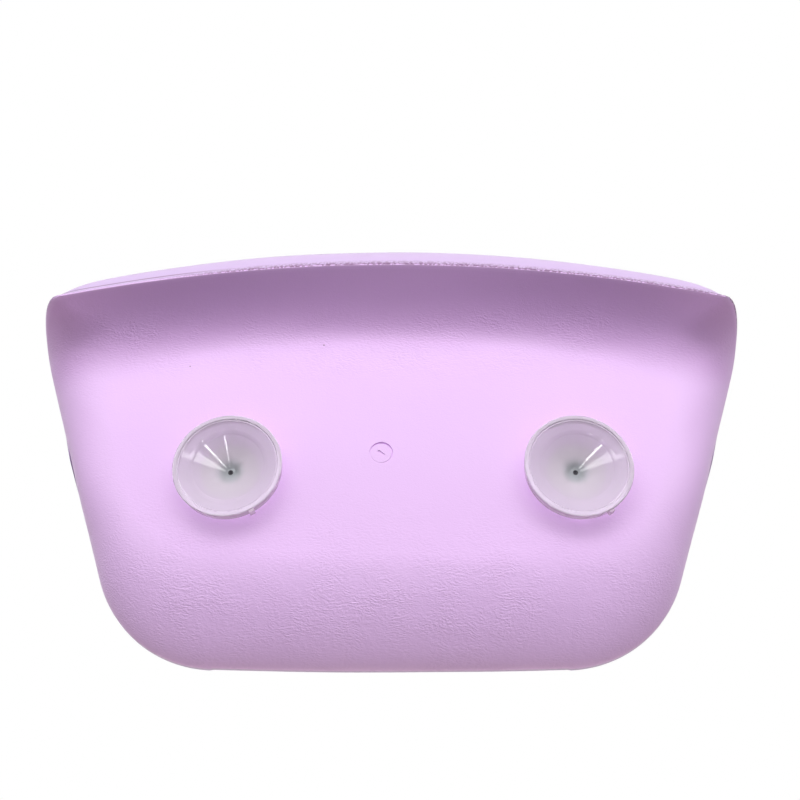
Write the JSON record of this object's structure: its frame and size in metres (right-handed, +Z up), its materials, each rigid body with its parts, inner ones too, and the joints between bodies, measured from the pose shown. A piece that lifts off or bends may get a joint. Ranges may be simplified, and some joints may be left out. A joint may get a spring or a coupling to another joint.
{
  "type": "bath pillow",
  "caption": "Foam head rest with a hooked top edge that laps over a bathtub's rim, held to the tub wall by a pair of suction cups.",
  "frame": {"origin": "on the plane of the tub wall that both suction cups press against, midway between the two cups' axes", "axes": "+Y out of the pillow's back into the tub wall, along the cups' axes; +Z up along the flat back towards the hooked lip; +X along the line through both cups, to the left in the picture; the user's head rests on the -Y side"},
  "size_m": [0.3196, 0.0585, 0.1898],
  "materials": {
    "lilac_foam": "satin in-mould skin with a fine leather-like wrinkle",
    "clear_vinyl": "glossy, milky clear soft vinyl",
    "anchor_plastic": "plain moulded natural white"
  },
  "bodies": {
    "pillow": {"foam_body": "lilac_foam", "left_anchor": "anchor_plastic", "right_anchor": "anchor_plastic"},
    "left_cup": {"left_suction_cup": "clear_vinyl"},
    "right_cup": {"right_suction_cup": "clear_vinyl"}
  },
  "joints": [
    {"name": "left_cup_spin", "type": "hinge", "parent": "pillow", "child": "left_cup", "pos_m": [0.0722, 0, 0], "axis": [0, 1, 0], "continuous": true},
    {"name": "right_cup_spin", "type": "hinge", "parent": "pillow", "child": "right_cup", "pos_m": [-0.0722, 0, 0], "axis": [0, 1, 0], "continuous": true}
  ]
}
